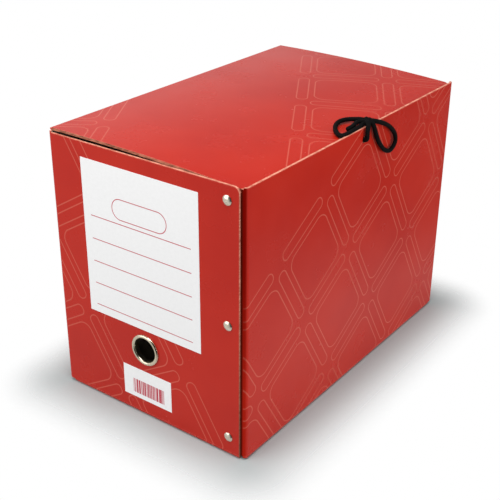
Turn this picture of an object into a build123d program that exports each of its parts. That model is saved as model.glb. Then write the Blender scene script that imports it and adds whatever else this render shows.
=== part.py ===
"""Archive box of laminated board, with a creased lid that a lace bow ties shut.

Millimetres, +Z up. The origin is the middle of the resting face. The spine faces -Y, the lid's crease
runs along the left panel (-X), and the lace ties the lid to the right panel (+X).
"""
import os
from math import hypot, radians, sqrt, tan

from build123d import *

# Sleeve of board
box_width = 200.0  # across the spine, outside
box_depth = 330.0  # spine to back, outside
sleeve_height = 240.0  # top edge of the spine and of the right panel
board = 2.0  # thickness of the laminated board
fold_radius = 3.0  # outside radius of a folded corner
relief_radius = 3.6  # notch punched where two creases meet
seam_setback = 5.5  # right edge of the spine, in from the right panel's face
spine_corner = 5.0  # round of the spine's top corner at the seam
seam_relief = 0.3  # bottom flaps, in from the seam's corner
foot_gap = 1.6  # foot of the seam's fold above the floor
flange_width = 36.0  # riveted strip behind the spine
flange_lip_gap = 0.3  # raised end of the strip, clear of the lid's free corner
flange_lip_drop = 1.3  # raised end below the sleeve's top edge

# Floor
flap_width = 42.0  # turned-in flap, from its crease to its free edge
floor_gap = 0.3  # base board to the walls

# Lid
lid_rise = 2.3  # crease axis above the sleeve's top edge
lid_drop = 5.3  # free edge below the crease, at half thickness
lid_crown = 2.2  # bow of the lid between crease and free edge
lid_gap = 0.6  # lid edges to the spine and to the right panel
lid_corner = 7.5  # round of the free corners
rest_gap = 0.3  # lid above the edges that carry it
hinge_gap = 0.1  # round of the crease above its seat
bevel_drop = 0.85  # slope of the crease seat, so that the lid can lie back
bevel_width = 1.2

# Rivets
rivet_inset = 10.5  # rivet line, in from the spine's right edge
rivet_foot = 18.0  # bottom rivet above the floor
rivet_headroom = 12.0  # top rivet below the sleeve's top edge
rivet_head = 8.2
rivet_dome = 1.8
rivet_rim = 0.5  # straight edge of the head
rivet_shank = 4.0
rivet_tail = 6.0
rivet_tail_height = 0.7
rivet_slack = 0.1  # radial clearance of the shank
washer_width = 9.0
washer_height = 0.6

# Finger ring
ring_shift = -3.5  # centre of the ring, from the middle of the box
ring_height = 68.0
ring_width = 29.0
ring_bore = 22.5
ring_wall = 0.9  # wall of the barrel
ring_roll = 2.1  # rolled rim, out from the spine
ring_slack = 0.25  # radial clearance in the board
ring_washer = 0.8
ring_curl = 0.7  # closed end of the barrel behind its washer
ring_curl_width = 1.5

# Labels
paper = 0.15
label_width = 121.5
label_shift = -4.0
label_gap = 4.5  # ring to the label above it
label_headroom = 13.0  # label below the sleeve's top edge
sticker_width = 53.5
sticker_height = 30.0
sticker_shift = -3.3
sticker_foot = 15.5

# Lace
lace = 4.0  # diameter
lace_hole = 6.0
knot_radius = 4.6
stop_radius = 4.2
lace_bend = 4.0  # bend where the lace leaves a hole
lace_run_share = 0.45  # share of the shorter run that a bend takes up

# Lace routes: across, along and above the right panel's top edge, at the middle of the box
knot_place = (-5.4, 9.0, 3.7)
left_loop_route = [
    (-8.2, 11.6, 5.2),
    (-13.5, 13.4, 6.0),
    (-19.0, 11.0, 3.6),
    (-22.3, 4.0, 1.9),
    (-22.5, -5.0, 1.8),
    (-19.5, -14.0, 1.6),
    (-13.5, -21.0, 1.2),
    (-7.5, -24.0, 0.8),
    (-4.4, -20.0, 0.55),
    (-4.35, -11.0, 0.5),
    (-4.6, -3.0, 0.7),
    (-5.2, 5.2, 1.6),
]
right_loop_route = [
    (-4.6, 11.8, 6.3),
    (-2.6, 15.6, 6.4),
    (1.4, 20.0, 4.0),
    (3.0, 27.0, -2.2),
    (3.1, 35.5, -7.5),
    (3.0, 44.5, -14.0),
    (3.1, 49.0, -21.5),
    (3.0, 47.5, -28.0),
    (3.1, 40.5, -31.0),
    (3.0, 32.0, -27.5),
    (3.1, 24.0, -19.0),
    (3.0, 17.5, -10.0),
    (3.0, 13.5, -1.5),
    (2.2, 11.4, 3.4),
    (-2.2, 10.0, 4.0),
]
tail_route = [
    (-8.9, 8.0, 1.9),
    (-11.5, 2.5, 1.3),
    (-9.6, -7.0, 0.95),
    (-10.8, -14.5, 1.0),
]
edge_strand_route = [
    (-3.6, 6.2, 5.4),
    (-0.2, 3.0, 4.6),
    (2.7, 1.4, 1.8),
    (2.8, 0.8, -1.2),
]
lid_lace_route = [
    (-11.5, 15.0, -9.0),
    (-11.5, 15.0, 0.7),
    (-6.8, 10.4, 0.7),
]
panel_lace_route = [
    (-6.5, 0.9, -10.5),
    (2.8, 0.7, -10.5),
    (2.8, 0.7, -1.6),
]

# Places worked out from the sizes above
half_width = box_width / 2
half_depth = box_depth / 2
inner_fold = fold_radius - board
side_inner = half_width - board
fold_x = half_width - fold_radius
fold_y = half_depth - fold_radius
spine_inner = board - half_depth
flange_inner = spine_inner + board
seam_fold_y = spine_inner + fold_radius
spine_right = half_width - seam_setback
rivet_x = spine_right - rivet_inset
rivet_top = sleeve_height - rivet_headroom
rivet_heights = [rivet_foot, (rivet_foot + rivet_top) / 2, rivet_top]
rivet_names = ["bottom", "middle", "top"]

hinge_x = board / 2 - half_width
hinge_z = sleeve_height + lid_rise
seat_z = hinge_z - board / 2 - hinge_gap
lid_tip_x = side_inner - lid_gap
lid_tip_z = hinge_z - lid_drop
lid_front = spine_inner + lid_gap
lid_chord = hypot(lid_tip_x - hinge_x, lid_drop)
lid_radius = (lid_chord**2 / 4 + lid_crown**2) / (2 * lid_crown)
lid_sink = lid_radius - lid_crown
lid_centre_x = (hinge_x + lid_tip_x) / 2 - lid_sink * lid_drop / lid_chord
lid_centre_z = (hinge_z + lid_tip_z) / 2 - lid_sink * (lid_tip_x - hinge_x) / lid_chord


def lid_point(x, z, out):
    """Point of the lid beside a point of its middle arc, moved out from the arc's centre."""
    share = (lid_radius + out) / lid_radius
    return lid_centre_x + (x - lid_centre_x) * share, lid_centre_z + (z - lid_centre_z) * share


def lid_height(x, out):
    """Height of the lid's face at x, moved out from the middle arc."""
    return lid_centre_z + sqrt((lid_radius + out) ** 2 - (x - lid_centre_x) ** 2)


lid_under_tip = lid_height(lid_tip_x, -board / 2)
lid_crest_x = (hinge_x + lid_tip_x) / 2
flange_top = lid_under_tip - rest_gap
lid_corner_x = lid_tip_x - lid_corner
lid_corner_y = lid_front + lid_corner
lip_reach = lid_corner + flange_lip_gap
flange_lip_x = lid_corner_x + sqrt(lip_reach**2 - (lid_corner_y - flange_inner) ** 2)
back_left_top = seat_z - rest_gap
back_right_top = lid_under_tip - rest_gap


def lace_point(place):
    """Place of a lace route in the box's own frame."""
    across, along, above = place
    return half_width + across, along, sleeve_height + above


def bend_radii(points):
    """Radius at each inner point of a route: as large as its two runs allow."""
    radii = []
    for before, here, after in zip(points, points[1:], points[2:]):
        into = Vector(*here) - Vector(*before)
        out = Vector(*after) - Vector(*here)
        turn = into.get_angle(out)
        run = min(into.length, out.length)
        radii.append(lace_run_share * run / tan(radians(turn) / 2))
    return radii


def lace_path(name, route, radii=None):
    """Path of a lace route: straight runs joined by tangent arcs, with its radii and length printed."""
    points = [lace_point(place) for place in route]
    bends = radii or bend_radii(points)
    with BuildLine() as path:
        FilletPolyline(*points, radius=bends)
    print(name, "radii", [round(bend, 1) for bend in bends], "length", round(path.wire().length, 1))
    return path.wire()


os.makedirs("parts", exist_ok=True)
made = []


def finish(builder, name):
    """Label a finished piece and write its STEP file."""
    builder.part.label = name
    export_step(builder.part, "parts/" + name + ".step")
    made.append(name)


# Corners where a relief notch is punched, on the round of each folded corner
relief_offset = fold_radius * sqrt(2) / 2
front_left_notch = (-fold_x - relief_offset, -fold_y - relief_offset, 0)
back_left_notch = (-fold_x - relief_offset, fold_y + relief_offset, 0)
back_right_notch = (fold_x + relief_offset, fold_y + relief_offset, 0)

# Left panel, with both of its folded corners and the seat of the lid's crease
with BuildPart() as left_panel:
    with BuildSketch(Plane.XY.offset(fold_radius)):
        with BuildLine():
            front_fold = JernArc((-fold_x, -half_depth), (-1, 0), fold_radius, -90)
            outer_face = Line(front_fold @ 1, (-half_width, fold_y))
            back_fold = JernArc(outer_face @ 1, (0, 1), fold_radius, -90)
            back_end = Line(back_fold @ 1, (-fold_x, half_depth - board))
            back_inside = JernArc(back_end @ 1, (-1, 0), inner_fold, 90)
            inner_face = Line(back_inside @ 1, (-side_inner, -fold_y))
            front_inside = JernArc(inner_face @ 1, (0, -1), inner_fold, 90)
            Line(front_inside @ 1, front_fold @ 0)
        make_face()
    extrude(amount=seat_z - fold_radius)
    with Locations(front_left_notch, back_left_notch):
        Sphere(relief_radius, mode=Mode.SUBTRACT)
    with BuildSketch(Plane.XZ.offset(-half_depth)):
        with BuildLine():
            Polyline(
                (-half_width, seat_z),
                (bevel_width - half_width, seat_z),
                (-half_width, seat_z - bevel_drop),
                close=True,
            )
        make_face()
    extrude(amount=box_depth, mode=Mode.SUBTRACT)
finish(left_panel, "left_panel")

# Spine panel, with the holes for the finger ring and the rivets
ring_hole = ring_bore / 2 + ring_wall + ring_slack
with BuildPart() as spine_panel:
    with BuildSketch(Plane.XZ.offset(half_depth)) as spine_face:
        with BuildLine():
            Polyline(
                (-fold_x, fold_radius),
                (spine_right, fold_radius),
                (spine_right, sleeve_height),
                (-fold_x, sleeve_height),
                close=True,
            )
        make_face()
        fillet(spine_face.vertices().group_by(Axis.Y)[-1].sort_by(Axis.X)[-1], spine_corner)
        with Locations((ring_shift, ring_height)):
            Circle(ring_hole, mode=Mode.SUBTRACT)
        with Locations([(rivet_x, height) for height in rivet_heights]):
            Circle(rivet_shank / 2 + rivet_slack, mode=Mode.SUBTRACT)
    extrude(amount=-board)
    with Locations(front_left_notch):
        Sphere(relief_radius, mode=Mode.SUBTRACT)
finish(spine_panel, "spine_panel")

# Right panel: its front end turns in behind the spine and has a foot that goes down to the floor, its
# back end turns into the back panel
with BuildPart() as right_panel:
    with BuildSketch(Plane.XY.offset(fold_radius)):
        with BuildLine():
            seam_fold = JernArc((fold_x, spine_inner), (1, 0), fold_radius, 90)
            outer_face = Line(seam_fold @ 1, (half_width, fold_y))
            back_fold = JernArc(outer_face @ 1, (0, 1), fold_radius, 90)
            back_end = Line(back_fold @ 1, (fold_x, half_depth - board))
            back_inside = JernArc(back_end @ 1, (1, 0), inner_fold, -90)
            inner_face = Line(back_inside @ 1, (side_inner, seam_fold_y))
            seam_inside = JernArc(inner_face @ 1, (0, -1), inner_fold, -90)
            Line(seam_inside @ 1, seam_fold @ 0)
        make_face()
    extrude(amount=sleeve_height - fold_radius)
    with BuildSketch(Plane.XY.offset(foot_gap)):
        with BuildLine():
            foot_fold = JernArc((fold_x, spine_inner), (1, 0), fold_radius, 90)
            foot_end = Line(foot_fold @ 1, (side_inner, seam_fold_y))
            foot_inside = JernArc(foot_end @ 1, (0, -1), inner_fold, -90)
            Line(foot_inside @ 1, foot_fold @ 0)
        make_face()
    extrude(amount=fold_radius - foot_gap)
    with Locations(back_right_notch):
        Sphere(relief_radius, mode=Mode.SUBTRACT)
    panel_hole = lace_point(panel_lace_route[0])
    with BuildSketch(Plane.YZ.offset(side_inner)):
        with Locations((panel_hole[1], panel_hole[2])):
            Circle(lace_hole / 2)
    extrude(amount=board, mode=Mode.SUBTRACT)
finish(right_panel, "right_panel")

# Joint flange behind the spine, cut lower than the spine so that the lid rests on it; beside the fold
# a short lip of it stays higher
with BuildPart() as joint_flange:
    with BuildSketch(Plane.XZ.offset(-spine_inner)):
        with BuildLine():
            Polyline(
                (fold_x - flange_width, fold_radius),
                (fold_x, fold_radius),
                (fold_x, sleeve_height - flange_lip_drop),
                (flange_lip_x, sleeve_height - flange_lip_drop),
                (flange_lip_x, flange_top),
                (fold_x - flange_width, flange_top),
                close=True,
            )
        make_face()
        with Locations([(rivet_x, height) for height in rivet_heights]):
            Circle(rivet_shank / 2 + rivet_slack, mode=Mode.SUBTRACT)
    extrude(amount=-board)
finish(joint_flange, "joint_flange")

# Back panel: its top edge slopes under the closed lid
with BuildPart() as back_panel:
    with BuildSketch(Plane.XZ.offset(-half_depth)):
        with BuildLine():
            Polyline(
                (-fold_x, fold_radius),
                (fold_x, fold_radius),
                (fold_x, back_right_top),
                (-fold_x, back_left_top),
                close=True,
            )
        make_face()
    extrude(amount=board)
    with Locations(back_left_notch, back_right_notch):
        Sphere(relief_radius, mode=Mode.SUBTRACT)
finish(back_panel, "back_panel")


def turned_flap(name, wall, start, end, outward):
    """Bottom flap with its crease.

    wall is the distance of the wall's outer face from the origin along outward, a unit vector in the
    floor's plane; start and end are the ends of the crease, measured to the right as seen from outside.
    """
    across = Plane((0, 0, 0), x_dir=(-outward[1], outward[0], 0), z_dir=(0, 0, 1))
    crease = wall - fold_radius
    with BuildPart() as flap:
        with BuildSketch(across):
            with BuildLine():
                Polyline(
                    (start, -crease),
                    (end, -crease),
                    (end - flap_width, flap_width - crease),
                    (start + flap_width, flap_width - crease),
                    close=True,
                )
            make_face()
        extrude(amount=board)
        side = Plane(across.from_local_coords((start, 0, 0)), x_dir=outward, z_dir=-across.x_dir)
        with BuildSketch(side):
            with BuildLine():
                under = JernArc((crease, 0), (1, 0), fold_radius, 90)
                foot = Line(under @ 1, (wall - board, fold_radius))
                inside = JernArc(foot @ 1, (0, -1), inner_fold, -90)
                Line(inside @ 1, under @ 0)
            make_face()
        extrude(amount=start - end)
    finish(flap, name)


turned_flap("front_bottom_flap", half_depth, relief_radius - fold_x, spine_right - seam_relief, (0, -1, 0))
turned_flap("back_bottom_flap", half_depth, relief_radius - fold_x, fold_x - relief_radius, (0, 1, 0))
turned_flap("left_bottom_flap", half_width, relief_radius - fold_y, fold_y - relief_radius, (-1, 0, 0))
turned_flap("right_bottom_flap", half_width, seam_fold_y + seam_relief, fold_y - relief_radius, (1, 0, 0))

# Base board glued on the flaps
with BuildPart() as base_board:
    with BuildSketch(Plane.XY.offset(board)):
        with BuildLine():
            Polyline(
                (floor_gap - fold_x, flange_inner + floor_gap),
                (fold_x - floor_gap, flange_inner + floor_gap),
                (fold_x - floor_gap, fold_y - floor_gap),
                (floor_gap - fold_x, fold_y - floor_gap),
                close=True,
            )
        make_face()
    extrude(amount=board)
finish(base_board, "base_board")

# Lid: a slightly bowed board whose left edge is rounded about the crease
with BuildPart() as lid_panel:
    with BuildSketch(Plane.XZ.offset(-half_depth)):
        with BuildLine():
            crest = lid_crest_x, lid_height(lid_crest_x, 0)
            top_face = ThreePointArc(
                lid_point(hinge_x, hinge_z, board / 2),
                lid_point(*crest, board / 2),
                lid_point(lid_tip_x, lid_tip_z, board / 2),
            )
            free_edge = Line(top_face @ 1, lid_point(lid_tip_x, lid_tip_z, -board / 2))
            under_face = ThreePointArc(
                free_edge @ 1,
                lid_point(*crest, -board / 2),
                lid_point(hinge_x, hinge_z, -board / 2),
            )
            JernArc(under_face @ 1, under_face % 1, board / 2, -180)
        make_face()
    extrude(amount=half_depth - lid_front)
    free_corners = lid_panel.edges().filter_by(lambda edge: edge.length < 2 * board).group_by(Axis.X)[-1]
    fillet(free_corners.sort_by(Axis.Y)[0], lid_corner)
    free_corners = lid_panel.edges().filter_by(lambda edge: edge.length < 2 * board).group_by(Axis.X)[-1]
    fillet(free_corners.sort_by(Axis.Y)[-1], lid_corner)
    lid_hole = lace_point(lid_lace_route[0])
    with BuildSketch(Plane.XY.offset(lid_hole[2])):
        with Locations((lid_hole[0], lid_hole[1])):
            Circle(lace_hole / 2)
    extrude(amount=hinge_z + lid_crown - lid_hole[2], mode=Mode.SUBTRACT)
finish(lid_panel, "lid_panel")

# Rivets with domed heads, closed on washers behind the flange
washer_face = flange_inner
tail_face = washer_face + washer_height
for rivet_name, height in zip(rivet_names, rivet_heights):
    radial = Plane((rivet_x, 0, height), x_dir=(1, 0, 0), z_dir=(0, 0, 1))
    rivet_axis = Axis((rivet_x, 0, height), (0, 1, 0))
    with BuildPart() as rivet:
        with BuildSketch(radial):
            with BuildLine():
                crown = (0, -half_depth - rivet_dome)
                rim = (rivet_head / 2, -half_depth - rivet_rim)
                dome = TangentArc(crown, rim, tangent=(1, 0))
                Polyline(
                    dome @ 1,
                    (rivet_head / 2, -half_depth),
                    (rivet_shank / 2, -half_depth),
                    (rivet_shank / 2, tail_face),
                    (rivet_tail / 2, tail_face),
                    (rivet_tail / 2, tail_face + rivet_tail_height),
                    (0, tail_face + rivet_tail_height),
                    crown,
                )
            make_face()
        revolve(axis=rivet_axis)
    finish(rivet, "rivet_" + rivet_name)

    with BuildPart() as washer:
        with BuildSketch(Plane.XZ.offset(-washer_face)):
            with Locations((rivet_x, height)):
                Circle(washer_width / 2)
                Circle(rivet_shank / 2 + rivet_slack, mode=Mode.SUBTRACT)
        extrude(amount=-washer_height)
    finish(washer, "rivet_washer_" + rivet_name)

# Finger ring: a rolled rim in front, a barrel through the spine, closed on a washer behind
ring_plane = Plane((ring_shift, 0, ring_height), x_dir=(1, 0, 0), z_dir=(0, 0, 1))
ring_axis = Axis((ring_shift, 0, ring_height), (0, 1, 0))
barrel_inner = ring_bore / 2
barrel_outer = barrel_inner + ring_wall
ring_curl_face = spine_inner + ring_washer
with BuildPart() as finger_ring:
    with BuildSketch(ring_plane):
        with BuildLine():
            rim_middle = (barrel_inner + ring_width / 2) / 2
            roll = ThreePointArc(
                (barrel_inner, -half_depth),
                (rim_middle, -half_depth - ring_roll),
                (ring_width / 2, -half_depth),
            )
            Polyline(
                roll @ 1,
                (barrel_outer, -half_depth),
                (barrel_outer, ring_curl_face),
                (barrel_outer + ring_curl_width, ring_curl_face),
                (barrel_outer + ring_curl_width, ring_curl_face + ring_curl),
                (barrel_inner, ring_curl_face + ring_curl),
                roll @ 0,
            )
        make_face()
    revolve(axis=ring_axis)
finish(finger_ring, "finger_ring")

with BuildPart() as ring_back_washer:
    with BuildSketch(Plane.XZ.offset(-spine_inner)):
        with Locations((ring_shift, ring_height)):
            Circle(ring_width / 2)
            Circle(ring_hole, mode=Mode.SUBTRACT)
    extrude(amount=-ring_washer)
finish(ring_back_washer, "ring_back_washer")


def pasted_paper(name, shift, foot, width, height):
    """Rectangle of paper pasted on the spine."""
    with BuildPart() as sheet:
        with BuildSketch(Plane.XZ.offset(half_depth)):
            with Locations((shift, foot + height / 2)):
                Rectangle(width, height)
        extrude(amount=paper)
    finish(sheet, name)


label_foot = ring_height + ring_width / 2 + label_gap
label_height = sleeve_height - label_headroom - label_foot
pasted_paper("spine_label", label_shift, label_foot, label_width, label_height)
pasted_paper("small_sticker", sticker_shift, sticker_foot, sticker_width, sticker_height)

# Knots of the lace: the bow's own, and one stop knot behind each hole
with BuildPart() as bow_knot:
    with Locations(lace_point(knot_place)):
        Sphere(knot_radius)
finish(bow_knot, "bow_knot")

with BuildPart() as lid_stop_knot:
    lid_stop = Vector(*lace_point(lid_lace_route[0]))
    with Locations((lid_stop.X, lid_stop.Y, lid_height(lid_stop.X, -board / 2) - rest_gap - stop_radius)):
        Sphere(stop_radius)
finish(lid_stop_knot, "lid_stop_knot")

with BuildPart() as panel_stop_knot:
    panel_stop = Vector(*lace_point(panel_lace_route[0]))
    with Locations((side_inner - rest_gap - stop_radius, panel_stop.Y, panel_stop.Z)):
        Sphere(stop_radius)
finish(panel_stop_knot, "panel_stop_knot")


def lace_stretch(name, route, knots, radii=None):
    """Stretch of lace along a route, cut where it goes into a knot."""
    path = lace_path(name, route, radii)
    with BuildPart() as stretch:
        with BuildSketch(Plane(path @ 0, z_dir=path % 0)):
            Circle(lace / 2)
        sweep(path=path)
        for knot in knots:
            add(knot.part, mode=Mode.SUBTRACT)
    finish(stretch, name)


lace_stretch("bow_left_loop", left_loop_route, [bow_knot])
lace_stretch("bow_right_loop", right_loop_route, [bow_knot])
lace_stretch("bow_tail", tail_route, [bow_knot])
lace_stretch("bow_edge_strand", edge_strand_route, [bow_knot])
lace_stretch("lid_lace", lid_lace_route, [bow_knot, lid_stop_knot], [lace_bend])
lace_stretch("panel_lace", panel_lace_route, [panel_stop_knot], [lace_bend])

print(len(made), "nodes")
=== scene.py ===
"""Archive box of laminated red board, with a creased lid that a black lace bow ties shut.

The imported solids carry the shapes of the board, the metal and the paper; this script dresses them, lays the
lace along its routes as a braided cord, and sets up a plain studio. Metres, +Z up, the spine faces -Y.
"""
from __future__ import annotations

import logging
import math
from dataclasses import dataclass
from enum import Enum

import bpy
import numpy as np
from mathutils import Matrix, Vector


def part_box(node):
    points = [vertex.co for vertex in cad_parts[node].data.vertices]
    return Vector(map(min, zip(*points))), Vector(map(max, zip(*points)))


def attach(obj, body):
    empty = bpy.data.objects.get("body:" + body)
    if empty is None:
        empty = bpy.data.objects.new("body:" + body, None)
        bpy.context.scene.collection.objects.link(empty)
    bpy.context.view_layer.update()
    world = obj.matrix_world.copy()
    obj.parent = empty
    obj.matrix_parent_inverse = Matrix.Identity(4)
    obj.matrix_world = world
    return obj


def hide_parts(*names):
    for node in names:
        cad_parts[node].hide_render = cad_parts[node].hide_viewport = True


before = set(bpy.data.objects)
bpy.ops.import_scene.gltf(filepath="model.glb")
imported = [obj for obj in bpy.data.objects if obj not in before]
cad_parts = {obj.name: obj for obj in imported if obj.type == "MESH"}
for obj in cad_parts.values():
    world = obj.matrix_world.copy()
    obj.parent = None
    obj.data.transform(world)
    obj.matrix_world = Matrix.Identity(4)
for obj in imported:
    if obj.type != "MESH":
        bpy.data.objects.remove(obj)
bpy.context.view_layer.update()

LOG = logging.getLogger("archive_box")
Point = tuple[float, float, float]
Colour = tuple[float, float, float]
Surface = tuple[np.ndarray, np.ndarray, np.ndarray]
Material = bpy.types.Material
Node = bpy.types.Node
Socket = bpy.types.NodeSocket
Tree = bpy.types.NodeTree

X, Y, Z = range(3)
MM = 0.001
HALF_WIDTH = 0.1
HALF_DEPTH = 0.165
HEIGHT = 0.24
BOARD = 2.0 * MM
FOLD = 3.0 * MM
FAR = 9.0  # farther than any print reaches
NO_LOW: Point = (-FAR, -FAR, 0.0)
NO_HIGH: Point = (FAR, FAR, 0.0)
UNSTRETCHED: Point = (1.0, 1.0, 1.0)


def from_screen(red: int, green: int, blue: int) -> Colour:
    """Linear colour of an 8-bit screen colour.

    Args:
        red: red, 0 to 255.
        green: green, 0 to 255.
        blue: blue, 0 to 255.

    Returns:
        The three linear values: the power curve of the screen undone, with its straight foot.
    """
    def straight(value: int) -> float:
        """Linear value of one channel."""
        share = value / 255.0
        return share / 12.92 if share <= 0.04045 else ((share + 0.055) / 1.055) ** 2.4

    return straight(red), straight(green), straight(blue)


def distances(line: np.ndarray) -> np.ndarray:
    """Distance of each point of a line from the line's start: the running sum of its steps."""
    return np.concatenate(([0.0], np.cumsum(np.linalg.norm(np.diff(line, axis=0), axis=1))))


def closed_quads(rows: int, columns: int) -> np.ndarray:
    """Faces of a grid of points whose last column joins its first.

    Args:
        rows: number of rows.
        columns: number of points in a row.

    Returns:
        Four point numbers for each face: two along a row, then the two beside them in the next row.
    """
    row, column = np.meshgrid(np.arange(rows - 1), np.arange(columns), indexing="ij")
    near, following = row * columns, (column + 1) % columns
    far = near + columns
    return np.stack((near + column, near + following, far + following, far + column), axis=-1).reshape(-1, 4)


@dataclass(frozen=True)
class Grain:
    """Settings of a cloudy value."""

    scale: float
    detail: float
    rough: float


@dataclass(frozen=True)
class Step:
    """A smooth step: start below low, end above high."""

    low: float
    high: float
    start: float = 0.0
    end: float = 1.0


class NodeSketch:
    """A node tree under construction, with short ways to add and join its nodes."""

    def __init__(self, tree: Tree) -> None:
        """Start from an empty tree."""
        self.tree = tree
        tree.nodes.clear()

    def add(self, kind: str, **settings: object) -> Node:
        """Add a node.

        Args:
            kind: Blender's name of the node type.
            **settings: properties to set on it.

        Returns:
            The new node.
        """
        node = self.tree.nodes.new(kind)
        for name, value in settings.items():
            setattr(node, name, value)
        return node

    def feed(self, into: Socket, value: object) -> None:
        """Join a socket to another, or set its value.

        Args:
            into: the input socket.
            value: an output socket, a number, or a tuple of numbers.
        """
        if isinstance(value, Socket):
            self.tree.links.new(value, into)
        elif isinstance(value, tuple) and into.type == "RGBA" and len(value) == 3:
            into.default_value = (*value, 1.0)
        else:
            into.default_value = value

    def feed_all(self, node: Node, values: dict[str | int, object]) -> None:
        """Feed several inputs of a node, by name or number."""
        for key, value in values.items():
            self.feed(node.inputs[key], value)

    def out(
        self, kind: str, values: dict[str | int, object], output: str | int = 0, **settings: object,
    ) -> Socket:
        """Add a node and feed it.

        Args:
            kind: Blender's name of the node type.
            values: what its inputs get, by name or number.
            output: name or number of the output that is wanted.
            **settings: properties to set on it.

        Returns:
            That output.
        """
        node = self.add(kind, **settings)
        self.feed_all(node, values)
        return node.outputs[output]

    def math(self, kind: str, first: object, second: object = 0.0) -> Socket:
        """Number worked out from one or two numbers."""
        return self.out("ShaderNodeMath", {0: first, 1: second}, operation=kind)

    def away(self, value: object, place: object) -> Socket:
        """Distance of a number from a place."""
        return self.math("ABSOLUTE", self.math("SUBTRACT", value, place))

    def most(self, masks: list[Socket]) -> Socket | float:
        """Largest of several masks.

        Args:
            masks: the masks.

        Returns:
            The largest, or zero where there is none.
        """
        largest: Socket | float = masks[0] if masks else 0.0
        for mask in masks[1:]:
            largest = self.math("MAXIMUM", largest, mask)
        return largest

    def vector(self, kind: str, first: object, second: object = (0.0, 0.0, 0.0)) -> Socket:
        """Vector worked out from one or two vectors."""
        return self.out("ShaderNodeVectorMath", {0: first, 1: second}, operation=kind)

    def scaled(self, vector: object, by: object) -> Socket:
        """Vector times a number."""
        return self.out("ShaderNodeVectorMath", {0: vector, "Scale": by}, operation="SCALE")

    def dot(self, first: object, second: object) -> Socket:
        """Dot product of two vectors."""
        return self.out("ShaderNodeVectorMath", {0: first, 1: second}, "Value", operation="DOT_PRODUCT")

    def length(self, vector: object) -> Socket:
        """Length of a vector."""
        return self.out("ShaderNodeVectorMath", {0: vector}, "Value", operation="LENGTH")

    def split(self, vector: object) -> list[Socket]:
        """The three numbers of a vector.

        Args:
            vector: the vector.

        Returns:
            Its numbers along X, Y and Z.
        """
        node = self.add("ShaderNodeSeparateXYZ")
        self.feed(node.inputs[0], vector)
        return list(node.outputs)

    def join(self, across: object, up: object) -> Socket:
        """Flat vector of two numbers."""
        return self.out("ShaderNodeCombineXYZ", {0: across, 1: up})

    def ramp(self, value: object, step: Step) -> Socket:
        """Number taken along a smooth step."""
        limits = {"From Min": step.low, "From Max": step.high, "To Min": step.start, "To Max": step.end}
        return self.out(
            "ShaderNodeMapRange", {"Value": value, **limits}, "Result", interpolation_type="SMOOTHSTEP",
        )

    def mix(self, share: object, first: object, second: object) -> Socket:
        """Colour between two colours, by the mix node's colour sockets."""
        return self.out("ShaderNodeMix", {0: share, 6: first, 7: second}, 2, data_type="RGBA")

    def blend(self, share: object, first: object, second: object) -> Socket:
        """Number between two numbers, by the mix node's number sockets."""
        return self.out("ShaderNodeMix", {0: share, 2: first, 3: second}, data_type="FLOAT")

    def noise(self, vector: object, grain: Grain) -> Socket:
        """Cloudy value from 0 to 1."""
        settings = {"Scale": grain.scale, "Detail": grain.detail, "Roughness": grain.rough}
        return self.out("ShaderNodeTexNoise", {"Vector": vector, **settings})

    def group(self, tree: Tree, **values: object) -> bpy.types.bpy_prop_collection:
        """Place a node group.

        Args:
            tree: the group.
            **values: what its inputs get, by name, with _ for a blank.

        Returns:
            Its outputs.
        """
        node = self.add("ShaderNodeGroup", node_tree=tree)
        self.feed_all(node, {name.replace("_", " "): value for name, value in values.items()})
        return node.outputs


class GroupSketch(NodeSketch):
    """A shader node group under construction."""

    def __init__(self, name: str, inputs: dict[str, str], outputs: dict[str, str]) -> None:
        """Start the group.

        Args:
            name: name of the group.
            inputs: socket name to type, one of Float, Vector and Color.
            outputs: the same for what it puts out.
        """
        tree = bpy.data.node_groups.new(name, "ShaderNodeTree")
        for direction, sockets in (("INPUT", inputs), ("OUTPUT", outputs)):
            for socket, kind in sockets.items():
                tree.interface.new_socket(socket, in_out=direction, socket_type=f"NodeSocket{kind}")
        super().__init__(tree)
        self.given = self.add("NodeGroupInput").outputs
        self.result = self.add("NodeGroupOutput")

    def put_out(self, **values: object) -> Tree:
        """Feed the group's outputs by name, and hand over the group."""
        self.feed_all(self.result, values)
        return self.tree


class FinishSketch(NodeSketch):
    """A material under construction, with one Principled shader."""

    def __init__(self, name: str) -> None:
        """Start the material.

        Args:
            name: name of the finish.
        """
        self.material = bpy.data.materials.new(name)
        self.material.use_nodes = True
        super().__init__(self.material.node_tree)
        self.shader = self.add("ShaderNodeBsdfPrincipled")
        output = self.add("ShaderNodeOutputMaterial")
        self.feed(output.inputs["Surface"], self.shader.outputs[0])
        self.coordinates = self.add("ShaderNodeTexCoord").outputs
        self.point = self.coordinates["Object"]

    def relief(self, height: Socket, strength: float) -> None:
        """Let a share of a height in metres bend the shader's normal."""
        bump = self.out("ShaderNodeBump", {"Strength": strength, "Distance": 1.0, "Height": height})
        self.feed(self.shader.inputs["Normal"], bump)

    def finish(self, values: dict[str | int, object]) -> Material:
        """Feed the shader's inputs, and hand over the material."""
        self.feed_all(self.shader, values)
        return self.material


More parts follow.
